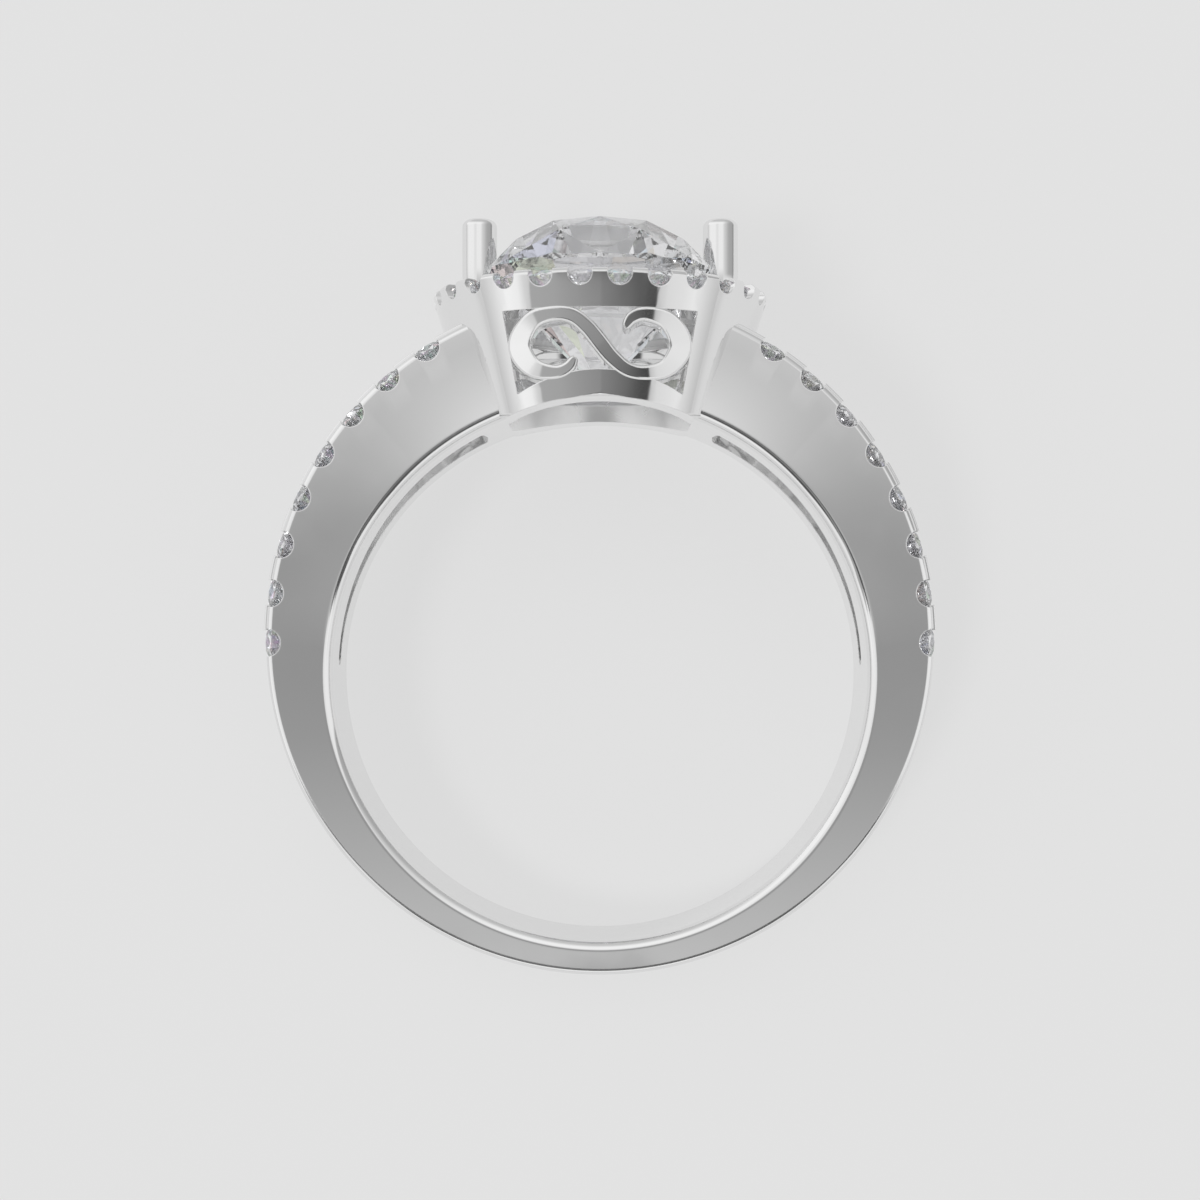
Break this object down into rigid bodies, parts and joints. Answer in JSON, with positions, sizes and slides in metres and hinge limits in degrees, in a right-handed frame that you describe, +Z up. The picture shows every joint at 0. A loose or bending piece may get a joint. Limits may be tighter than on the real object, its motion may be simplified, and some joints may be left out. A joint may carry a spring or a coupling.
{
  "type": "halo ring",
  "caption": "Polished white metal ring: a square cushion-cut stone on two prongs in a halo of small stones, scroll windows in a tapered head, and a stone-set split shank.",
  "frame": {"origin": "middle of the laid ring's box, on the surface that it lies on", "axes": "+X across the ring, +Y from the foot of the shank towards the head, +Z up from the surface, close to the finger's axis"},
  "size_m": [0.0216, 0.0246, 0.0108],
  "materials": {
    "white_gold": "mirror polished white gold",
    "diamond": "cut and polished, clear and colourless",
    "small_diamond": "cut and polished, clear and colourless"
  },
  "bodies": {
    "root": {"ring_body": "white_gold", "centre_stone": "diamond", "halo_stone_01": "small_diamond", "halo_stone_02": "small_diamond", "halo_stone_03": "small_diamond", "halo_stone_04": "small_diamond", "halo_stone_05": "small_diamond", "halo_stone_06": "small_diamond", "halo_stone_07": "small_diamond", "halo_stone_08": "small_diamond", "halo_stone_09": "small_diamond", "halo_stone_10": "small_diamond", "halo_stone_11": "small_diamond", "halo_stone_12": "small_diamond", "halo_stone_13": "small_diamond", "halo_stone_14": "small_diamond", "halo_stone_15": "small_diamond", "halo_stone_16": "small_diamond", "halo_stone_17": "small_diamond", "halo_stone_18": "small_diamond", "halo_stone_19": "small_diamond", "halo_stone_20": "small_diamond", "halo_stone_21": "small_diamond", "halo_stone_22": "small_diamond", "halo_stone_23": "small_diamond", "halo_stone_24": "small_diamond", "halo_stone_25": "small_diamond", "halo_stone_26": "small_diamond", "halo_stone_27": "small_diamond", "halo_stone_28": "small_diamond", "pave_row_front_left": "small_diamond", "pave_row_front_right": "small_diamond", "pave_row_back_left": "small_diamond", "pave_row_back_right": "small_diamond"}
  },
  "joints": []
}
